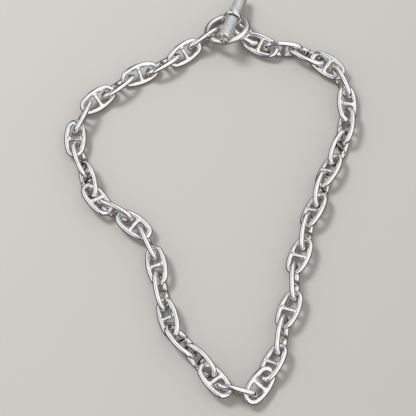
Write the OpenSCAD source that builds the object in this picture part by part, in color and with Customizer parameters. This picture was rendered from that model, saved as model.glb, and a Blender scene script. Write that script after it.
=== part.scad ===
// Mariner link necklace with a toggle clasp, laid out as an open loop on a flat surface.
// Units are millimetres. The surface is z = 0 and the origin is under the middle of the loop.

/* [Mariner link] */
// Length of a link, outside
link_l = 17.4; // [17.2:0.1:17.6]
// Width of a link, outside
link_w = 9.6; // [9.4:0.1:9.8]
// Diameter of the round wire that a link is bent from
wire_d = 2.2; // [2:0.05:2.3]
// Radius of the bend at a link's ends, at the middle of the wire
end_bend_r = 3; // [2.8:0.1:3.2]
// How much the wire swells where it is bent round a link's ends
bend_swell = 0.04; // [0.04:0.01:0.1]
// Diameter of the stud across the middle of a link
stud_d = 1.8; // [1.5:0.1:2]
// Diameter of the stud where it is soldered to the wire
stud_foot_d = 2.1; // [1.9:0.1:2.2]
// Length of the stud's widening towards the wire
stud_foot_l = 0.7; // [0.4:0.1:1]

/* [Toggle ring] */
// Diameter of the ring, outside
ring_d = 20.5; // [20:0.1:21]
// Diameter of the ring's round wire
ring_wire_d = 2.7; // [2.5:0.1:2.8]
// Slope of the ring, whose near side is raised by the chain under it
ring_slope = 22.5; // [22:0.5:23]
// Roll of the ring towards its left side
ring_roll = 11.5; // [11:0.5:12]

/* [Toggle bar] */
// Length of the bar
bar_l = 31; // [30:0.5:31.5]
// Diameter of the bar
bar_d = 5.3; // [5.1:0.1:5.4]
// Diameter of the waist at the bar's middle
waist_d = 3.8; // [3.6:0.1:4]
// Length of the waist
waist_l = 3; // [2.8:0.1:3.4]
// Bevel round the bar's ends and the waist's shoulders
bar_bevel = 0.5; // [0.3:0.1:0.6]
// Slope of the bar, which lies on the near and the far side of the toggle ring
bar_slope = 20.5; // [20:0.5:21]

/* [Bar ring] */
// Width of the ring round the bar's waist, outside
collar_w = 8; // [7.8:0.1:8.1]
// Length of the ring, outside
collar_l = 10.8; // [10.6:0.1:11]
// Diameter of its wire
collar_wire_d = 1.5; // [1.4:0.1:1.6]
// Turn of the ring about the bar, from hanging straight down
collar_turn = -14; // [-16:1:-12]
// How far the ring rocks towards the bar's far end
collar_rock = 4; // [2:1:6]

/* [Hidden] */
$fn = 48;
link_count = 40;
wire_r = wire_d / 2;
// The swollen bends lap over the ends of the sides by this angle
bend_lap = 2;

// Half length and half width of the wire's centre line, a four-arc oval
oval_a = link_l / 2 - wire_r;
oval_b = link_w / 2 - wire_r;
side_bend_r =
    (pow(oval_a - end_bend_r, 2) + pow(oval_b, 2) - pow(end_bend_r, 2)) / (2 * (oval_b - end_bend_r));
side_angle = asin((oval_a - end_bend_r) / (side_bend_r - end_bend_r));

// Play of a neighbour's wire between the two sides of a link, and how much of it stays unused
wire_slack = 0.9;
wire_play = oval_b - wire_d - wire_slack;
// A neighbour carries a link only as far as its width stands up by this sine
least_rise = 0.3;

// The middle of the whole, as the lay below has it
loop_x = 1.5;
loop_y = 7.95;

// The lay of the chain on the surface: a row for each odd link, from the toggle ring round the loop.
// X, Y: the link's middle.
// LEAN: the angle from the surface up to the link's width, counted on past 90 degrees
// where its upper side leans out of the loop.
// TURN: how far the link turns from the line of the chain.
// NEXT_LEAN, NEXT_TURN, NEXT_OUT: how far the even link after it leans and turns from its
// neighbours' mean, and how far it lies out of the loop.
LAY = [
    [-1.8, 78.3, 75.5, 0, -13, 0, -0.6],
    [-19.5, 66, 50, 0, 0, 0, 0.5],
    [-38.8, 55.2, 50, 2, 0, 0, 0.3],
    [-53.7, 40.2, 70, 0, 0, 0, 0.9],
    [-53.8, 20.2, 118, 8, 0, 0, -0.6],
    [-46.3, 2.2, 160, 0, 0, 0, -0.7],
    [-30.6, -9.3, 180, 12, 0, 0, 0.3],
    [-21, -27, 206, -8, 0, 0, 0.3],
    [-16, -49, 215, -8, 0, 0, 0.3],
    [-3, -67, 235, 0, 0, 0, 0.8],
    [11, -79, 275, -12, -10, 8, 1.4],
    [25.7, -67.5, 328, 4, 0, 0, 0],
    [32.7, -45.6, 340, -8, 0, 0, 0],
    [37.5, -22.7, 340, -8, 0, 0, 0],
    [44, -2.5, 325, -8, 0, 0, 0],
    [51, 15.5, 325, -8, 0, 0, -0.4],
    [59, 36, 312, 0, 0, 0, 0],
    [57.8, 57, 275, -2, 8, 0, 0.5],
    [43.2, 70.4, 215, 0, 0, -2, 0.1],
    [22.9, 75.5, 164, -0.5, 0, 0, 0]
];
X = 0;
Y = 1;
LEAN = 2;
TURN = 3;
NEXT_LEAN = 4;
NEXT_TURN = 5;
NEXT_OUT = 6;

// The first link's end is lifted by the toggle ring that it holds
first_pitch = -4;

// The last link, held by the bar ring
last_x = 15.5;
last_y = 81.7;
last_z = 4.3;
last_heading = 141;
last_lean = 213;
last_pitch = 5;

// The toggle ring: its middle, and how far the chain under it lifts its far side off the surface
ring_x = 8.5;
ring_y = 82.9;
ring_lift = 0.2;
ring_bend_r = (ring_d - ring_wire_d) / 2;
ring_z = ring_lift + ring_wire_d / 2 + ring_bend_r * sin(acos(cos(ring_slope) * cos(ring_roll)));

// The bar: the middle of its near end, and its heading from there
bar_end_x = 6.7;
bar_end_y = 72.3;
bar_end_z = 14.75;
bar_heading = 73;

// The bar's ends are crowned inside their bevels
crown_h = 0.4;
crown_steps = 6;
crown_r = bar_d / 2 - bar_bevel;

// The ring round the bar's waist hangs from its upper bend
collar_play = 0.2;
collar_bend_r = (collar_w - collar_wire_d) / 2;
collar_hang = (waist_d + collar_wire_d) / 2 + collar_play;

function odd(n) = n % 2 == 1;
function row(n) = LAY[(n - 1) / 2];
function row_middle(n) =
    n < 1 ? 2 * row_middle(1) - row_middle(3)
    : n > link_count ? 2 * [last_x, last_y] - row_middle(link_count - 1)
    : [row(n)[X], row(n)[Y]];
function direction(v) = atan2(v[1], v[0]);

// Where an odd link's neighbour hooks into it: half a pitch from its middle, ahead or behind
function hook(n, way) =
    let (next_way = row_middle(n + 2 * way) - row_middle(n))
    row_middle(n) + way * norm(next_way) / 4 * [cos(heading(n)), sin(heading(n))];

// An even link lies between the hooks of its two neighbours and leans across them
function outward(v) = [v[1], -v[0]] / norm(v);
function middle(n) =
    n == link_count ? [last_x, last_y]
    : odd(n) ? row_middle(n)
    : (hook(n - 1, 1) + hook(n + 1, -1)) / 2
        + row(n - 1)[NEXT_OUT] * outward(row_middle(n + 1) - row_middle(n - 1));
function heading(n) =
    n == link_count ? last_heading
    : odd(n) ? direction(row_middle(n + 2) - row_middle(n - 2)) + row(n)[TURN]
    : direction(hook(n + 1, -1) - hook(n - 1, 1)) + row(n - 1)[NEXT_TURN];
function lean(n) =
    n == link_count ? last_lean
    : odd(n) ? row(n)[LEAN]
    : (row(n - 1)[LEAN] + row(n + 1)[LEAN]) / 2 + 90 + row(n - 1)[NEXT_LEAN];

// How far the oval reaches from its middle towards a direction given by its parts
// along the length and along the width
function oval_reach(along, across) =
    let (size = norm([along, across]))
    size == 0 ? 0
    : atan2(abs(along), abs(across)) > side_angle
        ? (oval_a - end_bend_r) * abs(along) + end_bend_r * size
        : (oval_b - side_bend_r) * abs(across) + side_bend_r * size;

function flat_height(n) =
    n == link_count ? last_z
    : wire_r + oval_reach(0, sin(lean(n)));
function carried_height(n, by) =
    by < 1 || by > link_count ? 0 : flat_height(by) - wire_play / max(least_rise, abs(sin(lean(by))));
function rest_height(n) =
    n == link_count ? last_z
    : max(flat_height(n), carried_height(n, n - 1), carried_height(n, n + 1));
function pitch(n) =
    n == link_count ? last_pitch
    : n == 1 ? first_pitch
    : atan((rest_height(n + 1) - rest_height(n - 1)) / norm(middle(n + 1) - middle(n - 1)));
function height(n) =
    n == link_count ? last_z
    : max(rest_height(n), wire_r + oval_reach(sin(pitch(n)), cos(pitch(n)) * sin(lean(n))));

LINKS = [for (n = [1:link_count]) str("link_", n < 10 ? "0" : "", n)];

// An arc of round wire about the origin, reaching as far to each side of the X axis
module wire_arc(bend_r, reach, d) {
    rotate([0, 0, -reach])
        rotate_extrude(angle = 2 * reach)
            translate([bend_r, 0])
                circle(d = d);
}

// A stud that widens to its two soldered feet
module stud() {
    rotate([90, 0, 0])
        rotate_extrude()
            polygon([
                [0, -oval_b],
                [stud_foot_d / 2, -oval_b],
                [stud_foot_d / 2, wire_r - oval_b],
                [stud_d / 2, wire_r + stud_foot_l - oval_b],
                [stud_d / 2, oval_b - wire_r - stud_foot_l],
                [stud_foot_d / 2, oval_b - wire_r],
                [stud_foot_d / 2, oval_b],
                [0, oval_b]
            ]);
}

// Round wire bent to an oval of four arcs
module link_wire() {
    for (side = [0, 180])
        rotate([0, 0, side]) {
            translate([oval_a - end_bend_r, 0])
                wire_arc(end_bend_r, 90 - side_angle + bend_lap, wire_d + bend_swell);
            translate([0, oval_b - side_bend_r])
                rotate([0, 0, 90])
                    wire_arc(side_bend_r, side_angle, wire_d);
        }
}

// The wire with its stud soldered across the middle
module mariner_link(n) {
    color("silver")
        translate([middle(n)[0], middle(n)[1], height(n)])
            rotate([0, 0, heading(n)])
                rotate([lean(n), -pitch(n), 0])
                    union() {
                        link_wire();
                        stud();
                    }
}

module toggle_ring() {
    color("silver")
        translate([ring_x, ring_y, ring_z])
            rotate([-ring_slope, -ring_roll, 0])
                rotate_extrude()
                    translate([ring_bend_r, 0])
                        circle(d = ring_wire_d);
}

// Puts a shape on the bar's middle: its Z axis along the bar to the far end, its X axis downwards
module on_bar() {
    translate([bar_end_x, bar_end_y, bar_end_z])
        rotate([0, 0, bar_heading])
            rotate([0, 90 + bar_slope, 0])
                translate([0, 0, bar_l / 2])
                    children();
}

// Half the bar's outline, from the crown of its end to its waist, and the other half mirrored
BAR_HALF = concat(
    [
        for (step = [0:crown_steps])
            [crown_r * step / crown_steps, bar_l / 2 - crown_h * pow(step / crown_steps, 2)]
    ],
    [
        [bar_d / 2, bar_l / 2 - crown_h - bar_bevel],
        [bar_d / 2, waist_l / 2 + bar_bevel],
        [bar_d / 2 - bar_bevel, waist_l / 2],
        [waist_d / 2, waist_l / 2]
    ]
);
OTHER_HALF = [for (i = [len(BAR_HALF) - 1:-1:0]) [BAR_HALF[i][X], -BAR_HALF[i][Y]]];

module toggle_bar() {
    color("silver")
        on_bar()
            rotate_extrude()
                polygon(concat(BAR_HALF, OTHER_HALF));
}

// Round wire bent to an oval of two half circles and two straight sides
module collar_wire() {
    for (side = [0, 180])
        rotate([0, 0, side]) {
            translate([(collar_l - collar_w) / 2, 0])
                wire_arc(collar_bend_r, 90 + bend_lap, collar_wire_d + bend_swell);
            translate([0, collar_bend_r])
                rotate([0, 90, 0])
                    cylinder(h = collar_l - collar_w, d = collar_wire_d, center = true);
        }
}

// The oval ring, closed loosely round the bar's waist
module bar_ring() {
    color("silver")
        on_bar()
            rotate([0, 0, -collar_turn])
                translate([-collar_hang, 0])
                    rotate([0, -collar_rock, 0])
                        translate([(collar_l - collar_wire_d) / 2, 0])
                            collar_wire();
}

// Puts the origin under the middle of the whole
module laid() {
    translate([-loop_x, -loop_y, 0])
        children();
}

for (n = [1:link_count])
    laid() mariner_link(n);
laid() toggle_ring();
laid() toggle_bar();
laid() bar_ring();
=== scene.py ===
"""Mariner link chain with a toggle clasp: the visual model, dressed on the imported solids."""
import math

import bmesh
import bpy
import numpy as np
from mathutils import Matrix, Vector


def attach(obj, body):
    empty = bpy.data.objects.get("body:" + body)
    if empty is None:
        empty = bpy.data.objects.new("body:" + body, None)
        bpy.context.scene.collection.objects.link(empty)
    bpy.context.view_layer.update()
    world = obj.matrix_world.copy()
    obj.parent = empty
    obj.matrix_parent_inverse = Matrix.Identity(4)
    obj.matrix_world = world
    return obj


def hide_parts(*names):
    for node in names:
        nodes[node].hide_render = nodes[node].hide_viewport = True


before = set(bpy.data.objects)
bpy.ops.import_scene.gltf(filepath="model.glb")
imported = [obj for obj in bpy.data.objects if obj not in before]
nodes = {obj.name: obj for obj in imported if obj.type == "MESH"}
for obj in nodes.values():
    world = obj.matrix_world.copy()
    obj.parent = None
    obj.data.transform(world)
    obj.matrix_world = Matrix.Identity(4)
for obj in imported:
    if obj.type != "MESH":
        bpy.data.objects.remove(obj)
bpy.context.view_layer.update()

# The camera
# It looks down steeply at the loop from the side opposite the clasp, from about half a metre away.
MM = 0.001
scene = bpy.context.scene
camera_rise = math.radians(68)
camera_distance = 520 * MM
look_at = Vector((-1.5, -7.95, 0)) * MM
photo_width_px = 416
focal_px = 1240
camera_data = bpy.data.cameras.new("camera")
camera_data.sensor_width = 36
camera_data.lens = focal_px / photo_width_px * camera_data.sensor_width
camera = bpy.data.objects.new("camera", camera_data)
camera.location = look_at + camera_distance * Vector((0, -math.cos(camera_rise), math.sin(camera_rise)))
camera.rotation_euler = (math.pi / 2 - camera_rise, 0, 0)
scene.collection.objects.link(camera)
scene.camera = camera


# The polished silver
# Sterling silver, polished bright on a wheel: nearly a mirror, with soft dents from forming,
# hairline scratches from wear, and hollows and undersides painted dark, part tarnish and part painted
# shade.
def add_node(tree, kind, inputs=None, **settings):
    node = tree.nodes.new(kind)
    for name, value in settings.items():
        setattr(node, name, value)
    for name, value in (inputs or {}).items():
        socket = node.inputs[name]
        if isinstance(value, bpy.types.NodeSocket):
            tree.links.new(value, socket)
        else:
            socket.default_value = value
    return node


def noise(tree, place, scale, detail=2.0, roughness=0.5):
    made = add_node(tree, "ShaderNodeTexNoise", {
        "Vector": place, "Scale": scale, "Detail": detail, "Roughness": roughness})
    return made.outputs["Fac"]


def spread(tree, value, low, high, to_low=0, to_high=1):
    """A value between low and high, spread over another stretch and held at its ends."""
    made = add_node(tree, "ShaderNodeMapRange", {
        "Value": value, "From Min": low, "From Max": high, "To Min": to_low, "To Max": to_high})
    return made.outputs["Result"]


def worked(tree, operation, *values):
    """A number worked out from others, in a tree of either kind."""
    made = add_node(tree, "ShaderNodeMath", operation=operation)
    for socket, value in zip(made.inputs, values):
        if isinstance(value, bpy.types.NodeSocket):
            tree.links.new(value, socket)
        else:
            socket.default_value = value
    return made.outputs["Value"]


def on_object(tree):
    return add_node(tree, "ShaderNodeTexCoord").outputs["Object"]


def stretched(tree, turn, squeeze):
    made = add_node(tree, "ShaderNodeMapping", {
        "Vector": on_object(tree), "Rotation": turn, "Scale": squeeze})
    return made.outputs["Vector"]


def bump(tree, height, strength, distance, under=None):
    inputs = {"Height": height, "Strength": strength, "Distance": distance}
    if under is not None:
        inputs["Normal"] = under
    return add_node(tree, "ShaderNodeBump", inputs).outputs["Normal"]


def new_metal(name):
    material = bpy.data.materials.new(name)
    material.use_nodes = True
    tree = material.node_tree
    shader = tree.nodes["Principled BSDF"]
    shader.inputs["Metallic"].default_value = 1.0
    return material, tree, shader


def hollows_tarnished_and_shaded(tree):
    """How dark a place is painted, part tarnish and part painted shade: more where other metal or the
    floor closes it in.
    """
    hollow_reach = 1.4 * MM
    bright_openness = 0.62
    darkest_openness = 0.2
    # Painted shade: ambient occlusion darkens the colour where other metal or the floor lies close, as
    # tarnish would too
    hollow = add_node(tree, "ShaderNodeAmbientOcclusion", {"Distance": hollow_reach}, samples=8)
    closed_in = spread(tree, hollow.outputs["AO"], bright_openness, darkest_openness)
    blotches = noise(tree, on_object(tree), scale=420, detail=4, roughness=0.6)
    return worked(tree, "MULTIPLY", closed_in, spread(tree, blotches, 0.3, 0.6, to_low=0.6))


def mixed_colour(tree, share, first, second):
    made = add_node(tree, "ShaderNodeMix", {"Factor": share}, data_type="RGBA")
    for socket, colour in (("A", first), ("B", second)):
        if isinstance(colour, bpy.types.NodeSocket):
            tree.links.new(colour, made.inputs[socket])
        else:
            made.inputs[socket].default_value = colour
    return made.outputs["Result"]


BRIGHT = (0.955, 0.95, 0.94, 1)
GREYED = (0.8, 0.8, 0.795, 1)
# The dark that hollows are painted with, part tarnish and part painted shade
TARNISH_AND_SHADE = (0.3, 0.255, 0.21, 1)


def worn_silver(name, smoothest, roughest):
    """Silver with dents, scratches, smudges, tarnish and painted shade in its hollows, and a polish
    between two roughnesses.
    """
    material, tree, shader = new_metal(name)
    scratch_roughness = 0.12
    hollow_roughness = 0.25
    dent_depth = 0.14 * MM
    scratch_depth = 0.02 * MM
    # Scratches run in two ways: how each pattern is turned, squeezed along its axes, and scaled
    two_ways = (
        ((0.3, 0.2, 0.5), (1, 18, 6), 500),
        ((0.9, 0.4, 2.2), (1, 22, 5), 420))
    fields = [noise(tree, stretched(tree, turn, squeeze), scale, detail=3, roughness=0.7)
              for turn, squeeze, scale in two_ways]
    scratches = worked(tree, "MAXIMUM", *[spread(tree, field, 0.6, 0.7) for field in fields])
    smudge = noise(tree, on_object(tree), scale=260, detail=4, roughness=0.6)
    tarnish_and_shade = hollows_tarnished_and_shaded(tree)
    clean = mixed_colour(tree, spread(tree, smudge, 0.45, 0.68), BRIGHT, GREYED)
    # Hollows take the dark colour: part tarnish, part painted shade
    tree.links.new(mixed_colour(tree, tarnish_and_shade, clean, TARNISH_AND_SHADE), shader.inputs["Base Color"])
    polish = spread(tree, smudge, 0.35, 0.7, smoothest, roughest)
    worn = worked(tree, "ADD", polish, worked(tree, "MULTIPLY", scratches, scratch_roughness))
    dulled = worked(tree, "ADD", worn, worked(tree, "MULTIPLY", tarnish_and_shade, hollow_roughness))
    tree.links.new(dulled, shader.inputs["Roughness"])
    uneven = noise(tree, on_object(tree), scale=380, detail=1.5)
    dents = bump(tree, uneven, strength=0.4, distance=dent_depth)
    scratched = bump(tree, scratches, strength=0.15, distance=scratch_depth, under=dents)
    tree.links.new(scratched, shader.inputs["Normal"])
    return material


silver = worn_silver("polished_silver", smoothest=0.02, roughest=0.09)


# The mariner links
# Each is round silver wire bent to an oval of four arcs and soldered, with a straight stud
# soldered across its middle, its feet filleted into the wire.
link_l = 17.4 * MM
link_w = 9.6 * MM
wire_d = 2.2 * MM
end_bend_r = 3.0 * MM
stud_d = 1.8 * MM
stud_fillet = 0.85 * MM
oval_a = (link_l - wire_d) / 2
oval_b = (link_w - wire_d) / 2
# An end's arc runs into a side's without a corner: their middles are as far apart as their radii differ
side_bend_r = ((oval_a - end_bend_r) ** 2 + oval_b ** 2 - end_bend_r ** 2) / (2 * (oval_b - end_bend_r))
side_angle = math.asin((oval_a - end_bend_r) / (side_bend_r - end_bend_r))


def new_tree(name, inputs):
    tree = bpy.data.node_groups.new(name, "GeometryNodeTree")
    for label, (kind, value) in inputs.items():
        socket = tree.interface.new_socket(label, in_out="INPUT", socket_type=kind)
        if value is not None:
            socket.default_value = value
    tree.interface.new_socket("Geometry", in_out="OUTPUT", socket_type="NodeSocketGeometry")
    return tree, tree.nodes.new("NodeGroupInput"), tree.nodes.new("NodeGroupOutput")


def bent_wire(tree, radius, start, sweep, steps, middle, profile):
    """One arc of the link's wire, about a middle on one of its axes."""
    arc = add_node(tree, "GeometryNodeCurveArc", {
        "Resolution": steps, "Radius": radius, "Start Angle": start, "Sweep Angle": sweep})
    upright = add_node(tree, "GeometryNodeSetCurveNormal", {"Curve": arc.outputs["Curve"]}, mode="Z_UP")
    wire = add_node(tree, "GeometryNodeCurveToMesh", {
        "Curve": upright.outputs["Curve"], "Profile Curve": profile})
    return add_node(tree, "GeometryNodeTransform", {
        "Geometry": wire.outputs["Mesh"], "Translation": middle}).outputs["Geometry"]


def join(tree, *parts):
    made = tree.nodes.new("GeometryNodeJoinGeometry")
    for part in parts:
        tree.links.new(part, made.inputs["Geometry"])
    return made.outputs["Geometry"]


end_steps = 44
side_steps = 60
round_steps = 28
stud_steps = 48
weld = 0.001 * MM
length = "NodeSocketFloat"
tree, entry, result = new_tree("mariner_link", {
    "Half length": (length, oval_a), "Half width": (length, oval_b), "Wire radius": (length, wire_d / 2),
    "End bend": (length, end_bend_r), "Side bend": (length, side_bend_r),
    "Side angle": (length, side_angle),
    "Stud radius": (length, stud_d / 2), "Fillet": (length, stud_fillet),
    "Middle": ("NodeSocketVector", None), "Turn": ("NodeSocketRotation", None),
    "Silver": ("NodeSocketMaterial", None)})
given = entry.outputs
round_wire = add_node(tree, "GeometryNodeCurvePrimitiveCircle", {
    "Resolution": round_steps, "Radius": given["Wire radius"]}).outputs["Curve"]
end_middle = add_node(tree, "ShaderNodeCombineXYZ", {
    "X": worked(tree, "SUBTRACT", given["Half length"], given["End bend"])}).outputs["Vector"]
side_middle = add_node(tree, "ShaderNodeCombineXYZ", {
    "Y": worked(tree, "SUBTRACT", given["Half width"], given["Side bend"])}).outputs["Vector"]
side_start = worked(tree, "SUBTRACT", math.pi / 2, given["Side angle"])
side_sweep = worked(tree, "MULTIPLY", given["Side angle"], 2)
end_start = worked(tree, "SUBTRACT", given["Side angle"], math.pi / 2)
end_sweep = worked(tree, "SUBTRACT", math.pi, side_sweep)
half_oval = join(
    tree,
    bent_wire(tree, given["End bend"], end_start, end_sweep, end_steps, end_middle, round_wire),
    bent_wire(tree, given["Side bend"], side_start, side_sweep, side_steps, side_middle, round_wire))
other_half = add_node(tree, "GeometryNodeTransform", {
    "Geometry": half_oval, "Rotation": (0, 0, math.pi)}).outputs["Geometry"]
oval = add_node(tree, "GeometryNodeMergeByDistance", {
    "Geometry": join(tree, half_oval, other_half), "Distance": weld}).outputs["Geometry"]

# The stud is drawn as a plain rod, then each foot widens along the wire and rises towards its top
stud_end = add_node(tree, "ShaderNodeCombineXYZ", {"Y": given["Half width"]}).outputs["Vector"]
stud_start = add_node(tree, "ShaderNodeCombineXYZ", {
    "Y": worked(tree, "MULTIPLY", given["Half width"], -1)}).outputs["Vector"]
stud_line = add_node(tree, "GeometryNodeCurvePrimitiveLine", {"Start": stud_start, "End": stud_end})
stud_points = add_node(tree, "GeometryNodeResampleCurve", {
    "Curve": stud_line.outputs["Curve"], "Count": stud_steps})
stud_round = add_node(tree, "GeometryNodeCurvePrimitiveCircle", {
    "Resolution": round_steps, "Radius": given["Stud radius"]})
rod = add_node(tree, "GeometryNodeCurveToMesh", {
    "Curve": stud_points.outputs["Curve"], "Profile Curve": stud_round.outputs["Curve"],
    "Fill Caps": True})
position = tree.nodes.new("GeometryNodeInputPosition").outputs["Position"]
at = add_node(tree, "ShaderNodeSeparateXYZ", {"Vector": position}).outputs
inner_half = worked(tree, "SUBTRACT", given["Half width"], given["Wire radius"])
rod_half = worked(tree, "SUBTRACT", inner_half, given["Fillet"])
into_fillet = worked(tree, "SUBTRACT", worked(tree, "ABSOLUTE", at["Y"]), rod_half)

# A foot flares as a quarter circle that stops just short of its end, and rises far less than it widens
foot_share = 0.98
foot_rise = 0.24
share = worked(tree, "MAXIMUM", worked(tree, "DIVIDE", into_fillet, given["Fillet"]), 0)
share = worked(tree, "MINIMUM", share, foot_share)
curve_in = worked(tree, "SQRT", worked(tree, "SUBTRACT", 1, worked(tree, "MULTIPLY", share, share)))
flare = worked(tree, "SUBTRACT", 1, curve_in)
foot_width = worked(tree, "DIVIDE", given["Fillet"], given["Stud radius"])
wider = worked(tree, "ADD", 1, worked(tree, "MULTIPLY", flare, foot_width))
taller = worked(tree, "ADD", 1, worked(tree, "MULTIPLY", flare, foot_rise))
foot = add_node(tree, "ShaderNodeCombineXYZ", {
    "X": worked(tree, "MULTIPLY", at["X"], wider), "Y": at["Y"],
    "Z": worked(tree, "MULTIPLY", at["Z"], taller)}).outputs["Vector"]
stud = add_node(tree, "GeometryNodeSetPosition", {
    "Geometry": rod.outputs["Mesh"], "Position": foot}).outputs["Geometry"]
soldered = add_node(tree, "GeometryNodeMeshBoolean", operation="UNION", solver="EXACT")
for part in (oval, stud):
    tree.links.new(part, soldered.inputs["Mesh 2"])
smooth = add_node(tree, "GeometryNodeSetShadeSmooth", {"Geometry": soldered.outputs["Mesh"]})
placed = add_node(tree, "GeometryNodeTransform", {
    "Geometry": smooth.outputs["Geometry"], "Translation": given["Middle"], "Rotation": given["Turn"]})
whole = add_node(tree, "GeometryNodeRealizeInstances", {"Geometry": placed.outputs["Geometry"]})
finished = add_node(tree, "GeometryNodeSetMaterial", {
    "Geometry": whole.outputs["Geometry"], "Material": given["Silver"]})
tree.links.new(finished.outputs["Geometry"], result.inputs["Geometry"])
link_tree = tree


def middles_and_areas(node):
    """The middles and areas of a node's triangles."""
    mesh = node.data
    points = np.empty(len(mesh.vertices) * 3)
    mesh.vertices.foreach_get("co", points)
    mesh.calc_loop_triangles()
    corners = np.empty(len(mesh.loop_triangles) * 3, int)
    mesh.loop_triangles.foreach_get("vertices", corners)
    triangles = points.reshape(-1, 3)[corners.reshape(-1, 3)]
    edges = triangles[:, 1:] - triangles[:, :1]
    return triangles.mean(1), np.linalg.norm(np.cross(edges[:, 0], edges[:, 1]), axis=1) / 2


def place_of(node):
    """The middle of a node's solid, and its length, width and height as the axes of a turn."""
    middles, areas = middles_and_areas(node)
    middle = np.average(middles, axis=0, weights=areas)
    away = middles - middle
    _, axes = np.linalg.eigh((away * areas[:, None]).T @ away)
    long_axis, wide_axis = axes[:, 2], axes[:, 1]
    turn = Matrix((long_axis, wide_axis, np.cross(long_axis, wide_axis))).transposed()
    return Vector(middle), turn.to_euler()


def grown(name, tree, values, body="root"):
    """A piece grown by a tree of nodes, as a plain mesh that rides on a body."""
    seed_object = bpy.data.objects.new(name + "_seed", bpy.data.meshes.new(name + "_seed"))
    scene.collection.objects.link(seed_object)
    modifier = seed_object.modifiers.new("grow", "NODES")
    modifier.node_group = tree
    for item in tree.interface.items_tree:
        if item.item_type == "SOCKET" and item.in_out == "INPUT" and item.name in values:
            modifier[item.identifier] = values[item.name]
    graph = bpy.context.evaluated_depsgraph_get()
    mesh = bpy.data.meshes.new_from_object(seed_object.evaluated_get(graph))
    seed_object.modifiers.remove(modifier)
    bpy.data.objects.remove(seed_object)
    mesh.name = name
    piece = bpy.data.objects.new(name, mesh)
    scene.collection.objects.link(piece)
    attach(piece, body)
    return piece


link_nodes = sorted(name for name in nodes if name.startswith("link_"))
for name in link_nodes:
    middle, turn = place_of(nodes[name])
    link = grown("mariner_" + name, link_tree, {"Middle": middle, "Turn": turn, "Silver": silver})
    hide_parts(name)


# The toggle ring
# Plain round silver wire, heavier than the links' own, bent to a circle and soldered. The bar
# rubs on it, so its polish is softer than theirs. It holds the first link and takes the bar.
def give_finish(name, metal):
    nodes[name].data.materials.clear()
    nodes[name].data.materials.append(metal)


give_finish("toggle_ring", worn_silver("rubbed_silver", smoothest=0.26, roughest=0.4))


# The toggle bar
# A thick silver rod turned with a waist at its middle for its ring, and satin finished along
# its length. Its rims are rounded and polished, and its slightly crowned ends left as cut.
bar_l = 31 * MM
bar_d = 5.3 * MM
waist_d = 3.8 * MM
waist_l = 3 * MM
bar_rim = 0.5 * MM
waist_rim = 0.45 * MM
crown_h = 0.4 * MM
rim_steps = 6
crown_steps = 10
body_steps = 16
bar_sides = 96
SATIN, POLISHED, CUT = 0, 1, 2


def quarter_round(middle_along, middle_out, radius, start, steps):
    """A quarter of a circle in the outline, from a start angle counted from along to out."""
    angles = [start + math.pi / 2 * step / steps for step in range(steps + 1)]
    return [(middle_along + radius * math.cos(a), middle_out + radius * math.sin(a)) for a in angles]


def half_bar_outline():
    """Rows from the middle of an end to the waist: how far along, how far out, the finish from there."""
    rim_along = bar_l / 2 - crown_h - bar_rim
    shoulder_along = waist_l / 2 + waist_rim
    crown_r = bar_d / 2 - bar_rim
    rows = [(bar_l / 2 - crown_h * (step / crown_steps) ** 2, crown_r * step / crown_steps, CUT)
            for step in range(crown_steps)]
    rows += [(along, out, POLISHED)
             for along, out in quarter_round(rim_along, crown_r, bar_rim, 0, rim_steps)[:-1]]
    rows += [(rim_along + (shoulder_along - rim_along) * step / body_steps, bar_d / 2, SATIN)
             for step in range(body_steps)]
    rows += [(along, out, POLISHED) for along, out in quarter_round(
        shoulder_along, bar_d / 2 - waist_rim, waist_rim, math.pi / 2, rim_steps)]
    rows += [(waist_l / 2, waist_d / 2, POLISHED)]
    return rows


def turned(name, outline, sides):
    """A mesh turned about the X axis, with a map that runs round it and along its outline."""
    work = bmesh.new()
    turned_map = work.loops.layers.uv.new("turned")
    rings = []
    for along, out, _ in outline:
        angles = [2 * math.pi * step / sides for step in range(sides if out > 0 else 1)]
        rings.append([work.verts.new((along, out * math.cos(a), out * math.sin(a))) for a in angles])
    widest = max(out for _, out, _ in outline)
    step_round = 2 * math.pi * widest / sides
    run = 0
    for first, second, row, next_row in zip(rings, rings[1:], outline, outline[1:]):
        along, out, finish = row
        next_along, next_out, _ = next_row
        next_run = run + math.hypot(next_along - along, next_out - out)
        for step in range(sides):
            places = [(first, step, run), (first, step + 1, run),
                      (second, step + 1, next_run), (second, step, next_run)]
            # A face at the middle of an end is a triangle
            if len(first) == 1:
                del places[1]
            if len(second) == 1:
                del places[-1]
            face = work.faces.new([ring[around % len(ring)] for ring, around, _ in places])
            face.material_index = finish
            face.smooth = True
            for loop, (_, around, far) in zip(face.loops, places):
                loop[turned_map].uv = (around * step_round, far)
        run = next_run
    bmesh.ops.recalc_face_normals(work, faces=work.faces)
    mesh = bpy.data.meshes.new(name)
    work.to_mesh(mesh)
    work.free()
    return mesh


def along_the_turning(tree, squeeze):
    place = add_node(tree, "ShaderNodeUVMap", uv_map="turned").outputs["UV"]
    return add_node(tree, "ShaderNodeMapping", {"Vector": place, "Scale": squeeze}).outputs["Vector"]


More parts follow.
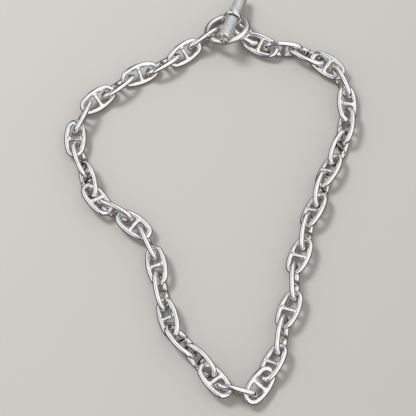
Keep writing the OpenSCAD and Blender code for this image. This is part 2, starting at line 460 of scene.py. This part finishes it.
SATIN_GREY = (0.72, 0.72, 0.715, 1)
SATIN_LIGHT = (0.9, 0.9, 0.895, 1)
PIT_DARK = (0.2, 0.19, 0.18, 1)
pit_share = 0.6
pit_depth = 0.05 * MM
brushed_depth = 0.02 * MM
satin, tree, shader = new_metal("satin_silver")
shader.inputs["Metallic"].default_value = 0.85
brushed = noise(tree, along_the_turning(tree, (1, 0.03, 1)), scale=9000, detail=3, roughness=0.65)
cloudy = noise(tree, on_object(tree), scale=900, detail=3, roughness=0.6)
pits = spread(tree, noise(tree, on_object(tree), scale=1700), 0.56, 0.66)
grey = mixed_colour(tree, spread(tree, cloudy, 0.35, 0.65), SATIN_GREY, SATIN_LIGHT)
pitted = mixed_colour(tree, worked(tree, "MULTIPLY", pits, pit_share), grey, PIT_DARK)
# Hollows on the bar are painted dark too: part tarnish, part painted shade
tarnished_and_shaded = mixed_colour(tree, hollows_tarnished_and_shaded(tree), pitted, TARNISH_AND_SHADE)
tree.links.new(tarnished_and_shaded, shader.inputs["Base Color"])
tree.links.new(spread(tree, brushed, 0.3, 0.7, to_low=0.5, to_high=0.68), shader.inputs["Roughness"])
lines = bump(tree, brushed, strength=0.25, distance=brushed_depth)
sunk = bump(tree, pits, strength=-0.3, distance=pit_depth, under=lines)
tree.links.new(sunk, shader.inputs["Normal"])

CUT_DARK = (0.3, 0.17, 0.12, 1)
CUT_LIGHT = (0.9, 0.88, 0.86, 1)
streak_share = 0.6
streak_depth = 0.15 * MM
as_cut, tree, shader = new_metal("cut_silver")
streaks = noise(tree, along_the_turning(tree, (1, 0.1, 1)), scale=1000, detail=3, roughness=0.6)
blotches = noise(tree, on_object(tree), scale=500)
shade = worked(
    tree, "ADD", worked(tree, "MULTIPLY", streaks, streak_share),
    worked(tree, "MULTIPLY", blotches, 1 - streak_share))
uneven = mixed_colour(tree, spread(tree, shade, 0.44, 0.54), CUT_DARK, CUT_LIGHT)
tree.links.new(uneven, shader.inputs["Base Color"])
shader.inputs["Metallic"].default_value = 0.3
shader.inputs["Roughness"].default_value = 0.5
tree.links.new(bump(tree, streaks, strength=0.8, distance=streak_depth), shader.inputs["Normal"])

# A row's finish runs on to the next row, so each mirrored row takes it from the row that follows it
near_half = half_bar_outline()
back = near_half[::-1]
far_half = [(-along, out, finish)
            for (along, out, _), (_, _, finish) in zip(back, back[1:] + near_half[:1])]
bar_mesh = turned("bar", near_half + far_half, bar_sides)
for metal in (satin, silver, as_cut):
    bar_mesh.materials.append(metal)
middle, turn = place_of(nodes["toggle_bar"])
bar_mesh.transform(Matrix.LocRotScale(middle, turn, None))
bar = bpy.data.objects.new("turned_toggle_bar", bar_mesh)
scene.collection.objects.link(bar)
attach(bar, "root")
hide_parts("toggle_bar")


# The bar ring
# Thin round silver wire closed loosely round the bar's waist and soldered. The last link
# hangs in it, so that the bar can tip and pass through the toggle ring.
give_finish("bar_ring", silver)


# The floor and the light
# A plain pale floor in a tent of soft white light that is open at its foot. The metal mirrors
# the tent, the dark opening and a brown ground. A soft box to the left gives the shadows.
FLOOR_PALE = (0.42, 0.405, 0.38, 1)
floor_reach = 3
floor_mesh = bpy.data.meshes.new("floor")
corners = [(x * floor_reach, y * floor_reach, 0) for x, y in ((-1, -1), (1, -1), (1, 1), (-1, 1))]
floor_mesh.from_pydata(corners, [], [(0, 1, 2, 3)])
floor = bpy.data.objects.new("floor", floor_mesh)
floor_paint = bpy.data.materials.new("floor")
floor_paint.use_nodes = True
shader = floor_paint.node_tree.nodes["Principled BSDF"]
for name, value in (("Base Color", FLOOR_PALE), ("Roughness", 0.9), ("Specular IOR Level", 0.1)):
    shader.inputs[name].default_value = value
floor_mesh.materials.append(floor_paint)
scene.collection.objects.link(floor)
floor.visible_glossy = False

soft_box_place = Vector((-0.5, 0.35, 0.9))
soft_light = bpy.data.lights.new("soft_box", "AREA")
soft_light.size = 0.3
soft_light.energy = 9
soft_box = bpy.data.objects.new("soft_box", soft_light)
soft_box.location = soft_box_place
soft_box.rotation_euler = (-soft_box_place).to_track_quat("-Z", "Y").to_euler()
soft_box.visible_glossy = False
scene.collection.objects.link(soft_box)

# Heights of a ray in the room, as the sine of its rise, then the light that comes from there
ground_near = -0.6
ground_far = -0.15
tent_foot = 0.05
tent_lit = 0.13
tent_top = 0.8
ground_light = 0.2
opening_light = 0.01
wall_light = 0.8
top_light = 1.2
room = bpy.data.worlds.new("room")
room.use_nodes = True
tree = room.node_tree
background = tree.nodes["Background"]
ray = add_node(tree, "ShaderNodeTexCoord").outputs["Generated"]
ray_parts = add_node(tree, "ShaderNodeSeparateXYZ", {"Vector": ray}).outputs
rise = ray_parts["Z"]
folds = spread(tree, noise(tree, ray, scale=3.2), 0.35, 0.65, to_low=0.8, to_high=1.08)
dome = worked(tree, "MULTIPLY", spread(tree, rise, tent_lit, tent_top, wall_light, top_light), folds)

# The tent's two halves part overhead, where a strip of dim blue sky shows
gap_side = -0.33
gap_half = 0.11
gap_edge = 0.09
gap_light = 0.24
from_gap = worked(tree, "ABSOLUTE", worked(tree, "SUBTRACT", ray_parts["X"], gap_side))
in_gap = spread(tree, from_gap, gap_half, gap_half + gap_edge, to_low=1, to_high=0)
parted = worked(tree, "MULTIPLY", dome, spread(tree, in_gap, 0, 1, to_low=1, to_high=gap_light))
tent = worked(tree, "MULTIPLY", spread(tree, rise, tent_foot, tent_lit, to_low=opening_light), parted)

patches = spread(tree, noise(tree, ray, scale=7, detail=3), 0.35, 0.65, to_low=0.3, to_high=1.5)
bare_ground = spread(tree, rise, ground_far, ground_near, opening_light, ground_light)
ground = worked(tree, "MULTIPLY", bare_ground, patches)
above = worked(tree, "GREATER_THAN", rise, 0)
WARM_WHITE = (1.0, 0.99, 0.97, 1)
COOL_WHITE = (0.9, 0.95, 1.0, 1)
SKY_BLUE = (0.66, 0.76, 0.95, 1)
GROUND_BROWN = (1.0, 0.8, 0.6, 1)
white = mixed_colour(tree, spread(tree, rise, tent_lit, tent_top), COOL_WHITE, WARM_WHITE)
tint = mixed_colour(tree, in_gap, white, SKY_BLUE)
tree.links.new(mixed_colour(tree, above, GROUND_BROWN, tint), background.inputs["Color"])
strength = add_node(tree, "ShaderNodeMix", {"Factor": above, "A": ground, "B": tent}, data_type="FLOAT")
tree.links.new(strength.outputs["Result"], background.inputs["Strength"])
scene.world = room
scene.view_settings.view_transform = "Standard"
